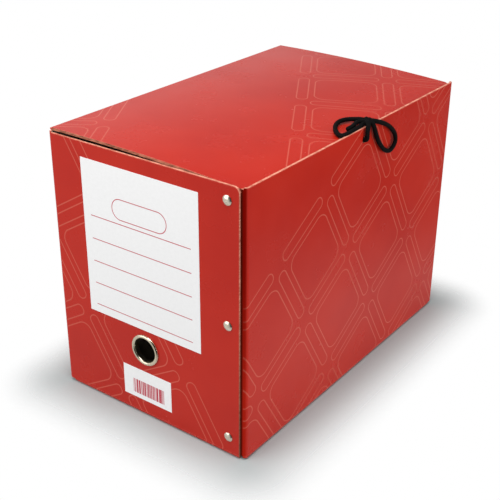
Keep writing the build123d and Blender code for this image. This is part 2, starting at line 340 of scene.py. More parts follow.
class Effects:
    """Node groups that more than one finish uses, each built once."""

    # The print: tiles and slots on a turned square lattice.
    PITCH = 78.4 * MM
    TILE_HALF = 28.4 * MM
    TILE_ROUND = 10.0 * MM
    SLOT_HALF = 31.0 * MM
    SLOT_WIDTH_HALF = 5.0 * MM
    SLOT_ROUND = 4.6 * MM
    LINE = 1.0 * MM
    LINE_SOFT = 0.12 * MM
    TURN = math.radians(-31.3)
    # The sides of a board: how much of its normal points the right way, and how little of it up.
    FACING_LEAST = 0.6
    UPRIGHT_MOST = 0.9
    # The laminate: its red, its lines, its rubbed places and its unevenness.
    CLOUD, CLOUD_SHARE = Grain(9.0, 3.0, 0.55), Step(0.3, 0.7)
    DOTS, DOTS_SHARE = Grain(700.0, 2.0, 0.6), Step(0.35, 0.75, 0.0, 0.06)
    LINE_SHARE = 0.47
    SPECK, SPECK_SHARE = Grain(900.0, 4.0, 0.65), Step(0.35, 0.80)
    SMEAR, SMEAR_ROUGH = Grain(26.0, 4.0, 0.6), Step(0.25, 0.8, 0.22, 0.30)
    RUBBED_ROUGH = 0.3
    WAVE, WAVE_HEIGHT = Grain(18.0, 1.0, 0.4), 0.10 * MM
    # The fibres of bare board and paper.
    LONG, LONG_SHARE = Grain(700.0, 5.0, 0.65), 0.65
    SHORT, SHORT_SHARE = Grain(2600.0, 3.0, 0.6), 0.35
    FIBRE_SHARE = Step(0.34, 0.64)
    FIBRE_HEIGHT = 0.05 * MM

    def __init__(self) -> None:
        """Build the groups, the plain ones first."""
        self.rounded = self._rounded()
        self.outline = self._outline()
        self.trellis = self._trellis()
        self.flat_sides = self._flat_sides()
        self.sleeve_sides = self._sleeve_sides()
        self.laminate = self._laminate()
        self.fibres = self._fibres()

    @staticmethod
    def _rounded() -> Tree:
        """Distance to the edge of a rounded rectangle, less than zero inside it.

        Returns:
            The group.
        """
        sketch = GroupSketch(
            "Rounded edge",
            {"Point": "Vector", "Half size": "Vector", "Round": "Float"},
            {"Distance": "Float"},
        )
        spread = sketch.vector("ABSOLUTE", sketch.given["Point"])
        rounding = sketch.given["Round"]
        core = sketch.vector("SUBTRACT", sketch.given["Half size"], sketch.join(rounding, rounding))
        across, up, _ = sketch.split(sketch.vector("SUBTRACT", spread, core))
        outer = sketch.join(sketch.math("MAXIMUM", across, 0.0), sketch.math("MAXIMUM", up, 0.0))
        inner = sketch.math("MINIMUM", sketch.math("MAXIMUM", across, up), 0.0)
        edge = sketch.math("ADD", sketch.length(outer), inner)
        return sketch.put_out(Distance=sketch.math("SUBTRACT", edge, rounding))

    def _outline(self) -> Tree:
        """Line along the edge of a rounded rectangle: where the edge is less than half a line away.

        Returns:
            The group.
        """
        sketch = GroupSketch(
            "Rounded outline",
            {"Point": "Vector", "Half size": "Vector", "Round": "Float", "Line": "Float"},
            {"Mask": "Float"},
        )
        given = sketch.given
        edge = sketch.group(
            self.rounded, Point=given["Point"], Half_size=given["Half size"], Round=given["Round"],
        )[0]
        half = sketch.math("MULTIPLY", given["Line"], 0.5)
        beyond = sketch.math("SUBTRACT", sketch.math("ABSOLUTE", edge), half)
        return sketch.put_out(Mask=sketch.ramp(beyond, Step(-self.LINE_SOFT, self.LINE_SOFT, 1.0, 0.0)))

    def _trellis(self) -> Tree:
        """Trellis of rounded tiles on a turned square lattice, with a narrow slot between two neighbours.

        A tile is drawn where its centre lies between Low and High, and a slot where that of either neighbour
        does. The point is folded into a quarter of its cell, so that one slot stands for each direction.

        Returns:
            The group.
        """
        sketch = GroupSketch(
            "Printed trellis", {"Point": "Vector", "Low": "Vector", "High": "Vector"}, {"Mask": "Float"},
        )
        given, half = sketch.given, self.PITCH / 2
        turned = {"Vector": given["Point"], "Angle": self.TURN}
        point = sketch.out("ShaderNodeVectorRotate", turned, rotation_type="Z_AXIS")
        corner = sketch.vector("ADD", point, (half, half, 0.0))
        centre = sketch.vector("SNAP", corner, (self.PITCH, self.PITCH, 1.0))
        local = sketch.vector("SUBTRACT", point, centre)
        folded = sketch.vector("ABSOLUTE", local)
        step = sketch.scaled(sketch.vector("SIGN", local), self.PITCH)

        def shown(share: Point) -> Socket:
            """Whether the tile a share of a step away is drawn.

            Args:
                share: share of the step in each direction.

            Returns:
                One where it is drawn, and zero elsewhere.
            """
            place = sketch.vector("ADD", centre, sketch.vector("MULTIPLY", step, share))
            above = sketch.vector("SUBTRACT", place, given["Low"])
            below = sketch.vector("SUBTRACT", given["High"], place)
            across, up, _ = sketch.split(sketch.vector("MINIMUM", above, below))
            return sketch.math("GREATER_THAN", sketch.math("MINIMUM", across, up), 0.0)

        here = shown((0.0, 0.0, 0.0))
        tile = sketch.group(
            self.outline, Point=folded, Half_size=(self.TILE_HALF, self.TILE_HALF, 0.0),
            Round=self.TILE_ROUND, Line=self.LINE,
        )[0]
        masks = [sketch.math("MULTIPLY", tile, here)]
        for share, size in (
            ((1.0, 0.0, 0.0), (self.SLOT_WIDTH_HALF, self.SLOT_HALF, 0.0)),
            ((0.0, 1.0, 0.0), (self.SLOT_HALF, self.SLOT_WIDTH_HALF, 0.0)),
        ):
            shift = tuple(half * value for value in share)
            slot = sketch.group(
                self.outline, Point=sketch.vector("SUBTRACT", folded, shift), Half_size=size,
                Round=self.SLOT_ROUND, Line=self.LINE,
            )[0]
            masks.append(sketch.math("MULTIPLY", slot, sketch.math("MAXIMUM", here, shown(share))))
        return sketch.put_out(Mask=sketch.most(masks))

    def _flat_sides(self) -> Tree:
        """Printed side and inner side of a flat board: its normal along, or against, the way it faces.

        Returns:
            The group.
        """
        sketch = GroupSketch(
            "Flat board sides",
            {"Normal": "Vector", "Facing": "Vector"},
            {"Printed": "Float", "Inside": "Float"},
        )
        along = sketch.dot(sketch.given["Normal"], sketch.given["Facing"])
        return sketch.put_out(
            Printed=sketch.math("GREATER_THAN", along, self.FACING_LEAST),
            Inside=sketch.math("LESS_THAN", along, -self.FACING_LEAST),
        )

    def _sleeve_sides(self) -> Tree:
        """Printed side and inner side of a folded board: less or more than half a board inside its plan.

        Returns:
            The group.
        """
        sketch = GroupSketch(
            "Folded board sides",
            {
                "Point": "Vector", "Normal": "Vector", "Centre": "Vector", "Half size": "Vector",
                "Round": "Float", "Board": "Float",
            },
            {"Printed": "Float", "Inside": "Float"},
        )
        given = sketch.given
        edge = sketch.group(
            self.rounded, Point=sketch.vector("SUBTRACT", given["Point"], given["Centre"]),
            Half_size=given["Half size"], Round=given["Round"],
        )[0]
        half = sketch.math("MULTIPLY", given["Board"], -0.5)
        upright = sketch.math("ABSOLUTE", sketch.split(given["Normal"])[Z])
        wall = sketch.math("LESS_THAN", upright, self.UPRIGHT_MOST)
        return sketch.put_out(
            Printed=sketch.math("MULTIPLY", sketch.math("GREATER_THAN", edge, half), wall),
            Inside=sketch.math("MULTIPLY", sketch.math("LESS_THAN", edge, half), wall),
        )

    def _laminate(self) -> Tree:
        """Printed film: red with cloudy shifts, paler lines, rubbed places, and a faint unevenness.

        Returns:
            The group.
        """
        sketch = GroupSketch(
            "Printed laminate",
            {
                "Point": "Vector", "Line": "Float", "Rub": "Float",
                "Deep": "Color", "Bright": "Color", "Pale": "Color",
            },
            {"Colour": "Color", "Roughness": "Float", "Height": "Float"},
        )
        given, point = sketch.given, sketch.given["Point"]
        cloud = sketch.ramp(sketch.noise(point, self.CLOUD), self.CLOUD_SHARE)
        red = sketch.mix(cloud, given["Deep"], given["Bright"])
        dots = sketch.ramp(sketch.noise(point, self.DOTS), self.DOTS_SHARE)
        red = sketch.mix(dots, red, given["Bright"])
        lined = sketch.mix(sketch.math("MULTIPLY", given["Line"], self.LINE_SHARE), red, given["Pale"])
        speck = sketch.ramp(sketch.noise(point, self.SPECK), self.SPECK_SHARE)
        rubbed = sketch.math("MULTIPLY", given["Rub"], speck)
        rough = sketch.ramp(sketch.noise(point, self.SMEAR), self.SMEAR_ROUGH)
        return sketch.put_out(
            Colour=sketch.mix(rubbed, lined, given["Pale"]),
            Roughness=sketch.math("ADD", rough, sketch.math("MULTIPLY", rubbed, self.RUBBED_ROUGH)),
            Height=sketch.math("MULTIPLY", sketch.noise(point, self.WAVE), self.WAVE_HEIGHT),
        )

    def _fibres(self) -> Tree:
        """Bare pressed board or paper: two shades by long and short fibres, with their relief.

        Returns:
            The group.
        """
        sketch = GroupSketch(
            "Board fibres",
            {"Point": "Vector", "Dark": "Color", "Light": "Color", "Stretch": "Vector"},
            {"Colour": "Color", "Height": "Float"},
        )
        given = sketch.given
        drawn = sketch.vector("MULTIPLY", given["Point"], given["Stretch"])
        long = sketch.math("MULTIPLY", sketch.noise(drawn, self.LONG), self.LONG_SHARE)
        short = sketch.math("MULTIPLY", sketch.noise(given["Point"], self.SHORT), self.SHORT_SHARE)
        both = sketch.math("ADD", long, short)
        return sketch.put_out(
            Colour=sketch.mix(sketch.ramp(both, self.FIBRE_SHARE), given["Dark"], given["Light"]),
            Height=sketch.math("MULTIPLY", both, self.FIBRE_HEIGHT),
        )


class Sides(Enum):
    """How a board's printed side is told from its raw edges and its inside."""

    FLAT = "by the way its faces point"
    FOLDED = "by the depth in a rounded plan"
    LID = "by the way its faces point, with the round of the crease printed"


class Axes(Enum):
    """The two axes that a board's print runs along."""

    SPINE = (X, Z)
    SIDE = (Y, Z)
    TOP = (X, Y)


@dataclass(frozen=True)
class BoardFinish:
    """Laminated board: printed outside, raw at its cut edges, bare inside."""

    GLOSS = 0.22
    RAW_ROUGH = 0.86
    RELIEF = 0.6
    EDGE_STRETCH = (0.25, 0.25, 1.0)
    # raw edges get darker towards the bottom, by height
    EDGE_SOIL = Step(0.0, 0.19, 0.75, 0.0)  # by height
    RUB_NEAR, RUB_FAR = 0.1 * MM, 1.2 * MM
    # The recess beside the seam: how far in it starts and is full, the painted shade on its film by height,
    # and the darker painted shade of its inner corner.
    SUNK_FULL, SUNK_NONE = 0.2 * MM, 1.8 * MM
    SUNK_SHADE, SUNK_RED = Step(0.0, 0.20, 0.20, 0.90), (0.16, 0.001, 0.0)
    SUNK_CORNER, CORNER_RED = Step(95.4 * MM, 97.4 * MM, 0.85, 0.0), (0.060, 0.006, 0.003)
    SUNK_ROUGH = 0.85

    name: str
    sides: Sides
    axes: Axes
    facing: Point = (0.0, 0.0, 1.0)
    plan_centre: Point = (0.0, 0.0, 0.0)
    plan_half: Point = (HALF_WIDTH, HALF_DEPTH, 0.0)
    fold: float = FOLD
    board: float = BOARD
    print_start: Point = (0.0, 0.0, 0.0)
    print_areas: tuple[tuple[Point, Point], ...] = ((NO_LOW, NO_HIGH),)
    mirrored: bool = False
    # where the recess beside the seam starts; its film there gets painted shade
    recess: float | None = None
    rub_lines: tuple[tuple[int, float], ...] = ()
    rub: float = 0.55
    deep: Colour = from_screen(186, 35, 22)
    bright: Colour = from_screen(197, 42, 26)
    pale: Colour = from_screen(222, 118, 98)
    edge_dark: Colour = from_screen(182, 92, 72)
    edge_light: Colour = from_screen(246, 172, 146)
    edge_soil: Colour = from_screen(112, 62, 42)
    inside_dark: Colour = from_screen(180, 168, 149)
    inside_light: Colour = from_screen(203, 193, 175)

    def material(self, effects: Effects) -> Material:
        """Make the material.

        Args:
            effects: the shared node groups.

        Returns:
            The material.
        """
        sketch = FinishSketch(self.name)
        parts = sketch.split(sketch.point)
        printed, inside = self._side_masks(sketch, effects)
        across, up = (parts[axis] for axis in self.axes.value)
        if self.mirrored:
            across = sketch.math("MULTIPLY", across, -1.0)
        place = sketch.vector("SUBTRACT", sketch.join(across, up), self.print_start)
        lines = [
            sketch.group(effects.trellis, Point=place, Low=low, High=high)[0]
            for low, high in self.print_areas
        ]
        film = sketch.group(
            effects.laminate, Point=sketch.point, Line=sketch.most(lines), Rub=self._rub(sketch, parts),
            Deep=self.deep, Bright=self.bright, Pale=self.pale,
        )
        raw = sketch.group(
            effects.fibres, Point=sketch.point, Dark=self.edge_dark, Light=self.edge_light,
            Stretch=self.EDGE_STRETCH,
        )
        bare = sketch.group(
            effects.fibres, Point=sketch.point, Dark=self.inside_dark, Light=self.inside_light,
            Stretch=UNSTRETCHED,
        )
        # raw edges darker towards the bottom
        soiled = sketch.mix(sketch.ramp(parts[Z], self.EDGE_SOIL), raw["Colour"], self.edge_soil)
        unprinted = sketch.mix(inside, soiled, bare["Colour"])
        red, rough, gloss = film["Colour"], film["Roughness"], self.GLOSS
        if self.recess is not None:
            # painted shade in the recess beside the seam
            red, rough, gloss = self._sink(sketch, parts, red, rough)
        sketch.relief(sketch.blend(printed, raw["Height"], film["Height"]), self.RELIEF)
        return sketch.finish({
            "Base Color": sketch.mix(printed, unprinted, red),
            "Roughness": sketch.blend(printed, self.RAW_ROUGH, rough),
            "Specular IOR Level": gloss,
        })

    def _side_masks(self, sketch: FinishSketch, effects: Effects) -> tuple[Socket, Socket]:
        """Masks of the printed side and of the bare inside.

        Args:
            sketch: the material's tree.
            effects: the shared node groups.

        Returns:
            The two masks.
        """
        normal = sketch.coordinates["Normal"]
        if self.sides is Sides.FOLDED:
            masks = sketch.group(
                effects.sleeve_sides, Point=sketch.point, Normal=normal, Centre=self.plan_centre,
                Half_size=self.plan_half, Round=self.fold, Board=self.board,
            )
        else:
            masks = sketch.group(effects.flat_sides, Normal=normal, Facing=self.facing)
        printed, inside = masks["Printed"], masks["Inside"]
        if self.sides is Sides.LID:
            crease = sketch.math("LESS_THAN", sketch.split(sketch.point)[X], -self.plan_half[X] + self.board)
            printed = sketch.math("MAXIMUM", printed, crease)
            inside = sketch.math("MULTIPLY", inside, sketch.math("SUBTRACT", 1.0, crease))
        return printed, inside

    def _rub(self, sketch: FinishSketch, parts: list[Socket]) -> Socket | float:
        """Rubbed film within about a millimetre of each fold or edge, most at the line itself.

        Args:
            sketch: the material's tree.
            parts: the three object coordinates.

        Returns:
            The mask, or zero where the board has no such line.
        """
        near = Step(self.RUB_NEAR, self.RUB_FAR, self.rub, 0.0)
        return sketch.most([
            sketch.ramp(sketch.away(parts[axis], place), near) for axis, place in self.rub_lines
        ])

    def _sink(
        self, sketch: FinishSketch, parts: list[Socket], red: Socket, rough: Socket,
    ) -> tuple[Socket, Socket, Socket]:
        """Film in the recess beside the seam: painted shade that darkens its red, more towards the top and
        most in the inner corner, and dull.

        Args:
            sketch: the material's tree.
            parts: the three object coordinates.
            red: the film's colour.
            rough: the film's roughness.

        Returns:
            Colour with the painted shade, and roughness and gloss with the recess in them.
        """
        limits = Step(self.recess + self.SUNK_FULL, self.recess + self.SUNK_NONE, 1.0, 0.0)
        sunk = sketch.ramp(parts[Y], limits)
        # painted shade: darker red by height, and darker still in the inner corner
        for value, step, colour in (
            (parts[Z], self.SUNK_SHADE, self.SUNK_RED), (parts[X], self.SUNK_CORNER, self.CORNER_RED),
        ):
            red = sketch.mix(sketch.math("MULTIPLY", sunk, sketch.ramp(value, step)), red, colour)
        return red, sketch.blend(sunk, rough, self.SUNK_ROUGH), sketch.blend(sunk, self.GLOSS, 0.0)


@dataclass(frozen=True)
class BareBoardFinish:
    """Unprinted grey board: fibres, with darker stains."""

    STAIN, STAIN_SHARE = Grain(14.0, 3.0, 0.5), Step(0.35, 0.75, 0.0, 0.35)
    STAIN_ROUGH = Step(0.0, 0.35, 0.82, 0.92)
    RELIEF = 0.7

    name: str
    dark: Colour = from_screen(176, 164, 145)
    light: Colour = from_screen(202, 192, 174)

    def material(self, effects: Effects) -> Material:
        """Make the material.

        Args:
            effects: the shared node groups.

        Returns:
            The material.
        """
        sketch = FinishSketch(self.name)
        bare = sketch.group(
            effects.fibres, Point=sketch.point, Dark=self.dark, Light=self.light, Stretch=UNSTRETCHED,
        )
        stain = sketch.ramp(sketch.noise(sketch.point, self.STAIN), self.STAIN_SHARE)
        sketch.relief(bare["Height"], self.RELIEF)
        return sketch.finish({
            "Base Color": sketch.mix(stain, bare["Colour"], self.dark),
            "Roughness": sketch.ramp(stain, self.STAIN_ROUGH),
        })


@dataclass(frozen=True)
class MetalFinish:
    """Bright plated metal, softly worn: fine scratches and a little tarnish in the cloudy places."""

    CLOUD, TARNISH_SHARE = Grain(220.0, 4.0, 0.6), Step(0.42, 0.78)
    WORN_LOW, WORN_HIGH = 0.3, 0.8
    SCRATCH, SCRATCH_STRETCH = Grain(900.0, 3.0, 0.7), (1.0, 1.0, 9.0)
    SCRATCH_DEPTH = 0.004 * MM
    RELIEF = 0.5

    name: str
    colour: Colour = from_screen(238, 230, 212)
    tarnish: Colour = from_screen(220, 208, 182)
    smooth: float = 0.20
    worn: float = 0.30

    def material(self) -> Material:
        """Make the material.

        Returns:
            The material.
        """
        sketch = FinishSketch(self.name)
        cloud = sketch.noise(sketch.point, self.CLOUD)
        stretched = sketch.vector("MULTIPLY", sketch.point, self.SCRATCH_STRETCH)
        scratch = sketch.math("MULTIPLY", sketch.noise(stretched, self.SCRATCH), self.SCRATCH_DEPTH)
        sketch.relief(scratch, self.RELIEF)
        return sketch.finish({
            "Base Color": sketch.mix(sketch.ramp(cloud, self.TARNISH_SHARE), self.colour, self.tarnish),
            "Roughness": sketch.ramp(cloud, Step(self.WORN_LOW, self.WORN_HIGH, self.smooth, self.worn)),
            "Metallic": 1.0,
        })


@dataclass(frozen=True)
class LabelFinish:
    """White writing paper with thin red rules and a lozenge outline to write in, or with a block of bars."""

    PAPER_STRETCH = (0.5, 0.5, 0.5)
    PAPER_ROUGH, INK_ROUGH = 0.62, 0.5
    GLOSS = 0.3
    RELIEF = 0.08
    RULE_SOFT = 0.1 * MM
    LOZENGE_ROUND = 0.98  # of its half height
    BARS, BARS_SHARE = Grain(1150.0, 1.0, 0.4), Step(0.44, 0.49)

    name: str
    rule_left: float = -56.8 * MM
    rule_right: float = 48.7 * MM
    rule_first: float = 94.8 * MM
    rule_pitch: float = 20.8 * MM
    rule_count: int = 5
    rule_line: float = 0.75 * MM
    lozenge_centre: Point = (-3.9 * MM, 191.0 * MM, 0.0)
    lozenge_half: Point = (28.5 * MM, 9.0 * MM, 0.0)
    lozenge_line: float = 0.75 * MM
    bars_centre: tuple[float, float] = (-2.0 * MM, 27.0 * MM)
    bars_half: tuple[float, float] = (17.5 * MM, 7.0 * MM)
    ruled: bool = True
    ink: Colour = from_screen(196, 60, 78)
    paper_dark: Colour = from_screen(249, 249, 249)
    paper_light: Colour = from_screen(253, 253, 253)

    def material(self, effects: Effects) -> Material:
        """Make the material.

        Args:
            effects: the shared node groups.

        Returns:
            The material.
        """
        sketch = FinishSketch(self.name)
        across, _, up = sketch.split(sketch.point)
        ink = self._rules(sketch, effects, across, up) if self.ruled else self._bars(sketch, across, up)
        paper = sketch.group(
            effects.fibres, Point=sketch.point, Dark=self.paper_dark, Light=self.paper_light,
            Stretch=self.PAPER_STRETCH,
        )
        sketch.relief(paper["Height"], self.RELIEF)
        return sketch.finish({
            "Base Color": sketch.mix(ink, paper["Colour"], self.ink),
            "Roughness": sketch.blend(ink, self.PAPER_ROUGH, self.INK_ROUGH),
            "Specular IOR Level": self.GLOSS,
        })

    def _rules(self, sketch: FinishSketch, effects: Effects, across: Socket, up: Socket) -> Socket:
        """Evenly spaced rules, by the distance to the nearest one, and the lozenge above them.

        Args:
            sketch: the material's tree.
            effects: the shared node groups.
            across: distance along the rules.
            up: height.

        Returns:
            The mask of the ink.
        """
        lozenge = sketch.group(
            effects.outline,
            Point=sketch.vector("SUBTRACT", sketch.join(across, up), self.lozenge_centre),
            Half_size=self.lozenge_half, Round=self.lozenge_half[1] * self.LOZENGE_ROUND,
            Line=self.lozenge_line,
        )[0]
        level = sketch.math("DIVIDE", sketch.math("SUBTRACT", up, self.rule_first), self.rule_pitch)
        row = sketch.math("ROUND", level)
        away = sketch.math("MULTIPLY", sketch.away(level, row), self.rule_pitch)
        half_line = self.rule_line / 2
        line = sketch.ramp(away, Step(half_line - self.RULE_SOFT, half_line + self.RULE_SOFT, 1.0, 0.0))
        middle = (self.rule_count - 1) / 2
        listed = sketch.math("LESS_THAN", sketch.away(row, middle), middle + 0.5)
        centre, half = (self.rule_left + self.rule_right) / 2, (self.rule_right - self.rule_left) / 2
        inside = sketch.math("LESS_THAN", sketch.away(across, centre), half)
        rules = sketch.math("MULTIPLY", line, sketch.math("MULTIPLY", listed, inside))
        return sketch.math("MAXIMUM", rules, lozenge)

    def _bars(self, sketch: FinishSketch, across: Socket, up: Socket) -> Socket:
        """Plain block of upright bars of uneven width, cut from a cloudy value along one line.

        Args:
            sketch: the material's tree.
            across: distance along the block.
            up: height.

        Returns:
            The mask of the ink.
        """
        ink = sketch.ramp(sketch.noise(sketch.join(across, 0.0), self.BARS), self.BARS_SHARE)
        for value, centre, half in zip((across, up), self.bars_centre, self.bars_half):
            ink = sketch.math("MULTIPLY", ink, sketch.math("LESS_THAN", sketch.away(value, centre), half))
        return ink


@dataclass(frozen=True)
class LaceFinish:
    """Black braided lace: crossing threads along its own map, dull and a little worn."""

    FUZZ, FUZZ_ROUGH = Grain(2400.0, 4.0, 0.7), Step(0.2, 0.8, 0.72, 0.92)
    TWIST_AROUND, TWIST_ALONG = 50.3, 4200.0  # radians in a turn, and in a metre
    WORN_SHARE = Step(0.1, 0.6)
    GLOSS = 0.12
    THREAD_HEIGHT = 0.10 * MM
    RELIEF = 0.5

    name: str = "black lace"
    thread: Colour = (0.0020, 0.0018, 0.0018)
    worn: Colour = (0.0075, 0.0065, 0.0062)

    def material(self) -> Material:
        """Make the material.

        Returns:
            The material.
        """
        sketch = FinishSketch(self.name)
        around, along, _ = sketch.split(sketch.coordinates["UV"])
        fuzz = sketch.noise(sketch.point, self.FUZZ)
        twist = sketch.math(
            "ADD", sketch.math("MULTIPLY", around, self.TWIST_AROUND),
            sketch.math("MULTIPLY", along, self.TWIST_ALONG),
        )
        shade = sketch.math("MULTIPLY", sketch.math("ABSOLUTE", sketch.math("SINE", twist)), fuzz)
        sketch.relief(sketch.math("MULTIPLY", shade, self.THREAD_HEIGHT), self.RELIEF)
        return sketch.finish({
            "Base Color": sketch.mix(sketch.ramp(shade, self.WORN_SHARE), self.thread, self.worn),
            "Roughness": sketch.ramp(fuzz, self.FUZZ_ROUGH),
            "Specular IOR Level": self.GLOSS,
        })


def dress(material: Material, *nodes: str) -> None:
    """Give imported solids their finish.

    Args:
        material: the finish.
        *nodes: names of the nodes.
    """
    for node in nodes:
        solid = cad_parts[node]
        solid.data.materials.clear()
        solid.data.materials.append(material)
        LOG.info("dressed %s with %s", node, material.name)


@dataclass
class Sleeve:
    """The folded body of the box: its panels, the flange behind the seam and the floor."""

    effects: Effects
    half_width: float = HALF_WIDTH
    half_depth: float = HALF_DEPTH
    height: float = HEIGHT
    board: float = BOARD
    fold: float = FOLD

    def dress(self) -> None:
        """Dress every board of the sleeve."""
        top, bottom, back = (Z, self.height), (Z, self.fold), (Y, self.half_depth)
        boards = {
            "spine_panel": BoardFinish(
                "spine board", Sides.FLAT, Axes.SPINE, facing=(0.0, -1.0, 0.0),
                print_start=(-14.8 * MM, 74.3 * MM, 0.0), print_areas=((NO_LOW, (0.02, FAR, 0.0)),),
                rub_lines=(top, bottom),
            ),
            "right_panel": BoardFinish(
                "right side board", Sides.FOLDED, Axes.SIDE, plan_centre=(0.0, self.board / 2, 0.0),
                plan_half=(self.half_width, self.half_depth - self.board / 2, 0.0),
                print_start=(-27.5 * MM, 80.7 * MM, 0.0), print_areas=((NO_LOW, (FAR, 0.1, 0.0)),),
                # the strip beside the seam gets painted shade
                recess=-self.half_depth + self.board, rub_lines=(top, bottom, back),
            ),
            "left_panel": BoardFinish(
                "left side board", Sides.FOLDED, Axes.SIDE, plan_half=(self.half_width, self.half_depth, 0.0),
                mirrored=True, rub_lines=(top, bottom, back),
            ),
            "back_panel": BoardFinish(
                "back board", Sides.FLAT, Axes.SPINE, facing=(0.0, 1.0, 0.0), mirrored=True,
                rub_lines=(bottom,),
            ),
            "joint_flange": BoardFinish(
                "flange board", Sides.FLAT, Axes.SPINE, facing=(0.0, -1.0, 0.0), print_areas=(),
                # the flange's face lies wholly in the recess, so all of it gets the painted shade
                recess=-self.half_depth + self.board + self.fold,
            ),
        }
        slope = math.sqrt(0.5)
        for side, outward in (
            ("front", (0.0, -slope)), ("back", (0.0, slope)),
            ("left", (-slope, 0.0)), ("right", (slope, 0.0)),
        ):
            boards[f"{side}_bottom_flap"] = BoardFinish(
                f"{side} flap board", Sides.FLAT, Axes.TOP, facing=(*outward, -slope),
            )
        for node, finish in boards.items():
            dress(finish.material(self.effects), node)
        dress(BareBoardFinish("base board").material(self.effects), "base_board")


@dataclass
class Lid:
    """The bowed lid on its crease."""

    effects: Effects
    half_width: float = HALF_WIDTH
    front: float = -162.4 * MM
    back: float = HALF_DEPTH

    def dress(self) -> None:
        """Dress the lid's board."""
        finish = BoardFinish(
            "lid board", Sides.LID, Axes.TOP, print_start=(10.6 * MM, -33.8 * MM, 0.0),
            print_areas=(((0.05, -FAR, 0.0), NO_HIGH), (NO_LOW, (-0.1, 0.05, 0.0))),
            rub_lines=((X, -self.half_width), (Y, self.front), (Y, self.back)), rub=1.6,
            # the lid's raw edges take darker copies of the edge colours: painted shade on its front edge
            edge_dark=from_screen(104, 54, 38), edge_light=from_screen(206, 134, 106),
        )
        dress(finish.material(self.effects), "lid_panel")


@dataclass
class Fittings:
    """Rivets, washers and the finger ring."""

    rivets: tuple[str, ...] = ("rivet_bottom", "rivet_middle", "rivet_top")
    washers: tuple[str, ...] = ("rivet_washer_bottom", "rivet_washer_middle", "rivet_washer_top")
    ring: tuple[str, ...] = ("finger_ring", "ring_back_washer")

    def dress(self) -> None:
        """Dress the metal pieces."""
        dress(MetalFinish("rivet nickel").material(), *self.rivets)
        dress(MetalFinish("washer steel", smooth=0.3, worn=0.5).material(), *self.washers)
        dress(MetalFinish("ring nickel", colour=from_screen(232, 222, 196)).material(), *self.ring)


@dataclass
class Labels:
    """The ruled label and the small sticker on the spine."""

    effects: Effects

    def dress(self) -> None:
        """Dress both papers."""
        dress(LabelFinish("ruled label").material(self.effects), "spine_label")
        dress(LabelFinish("barred sticker", ruled=False).material(self.effects), "small_sticker")


@dataclass(frozen=True)
class Route:
    """One stretch of lace: the node that it stands for, its control points and the body that it rides on.

    The points are in millimetres from the middle of the right panel's top edge.
    """

    name: str
    points: tuple[Point, ...]
    body: str


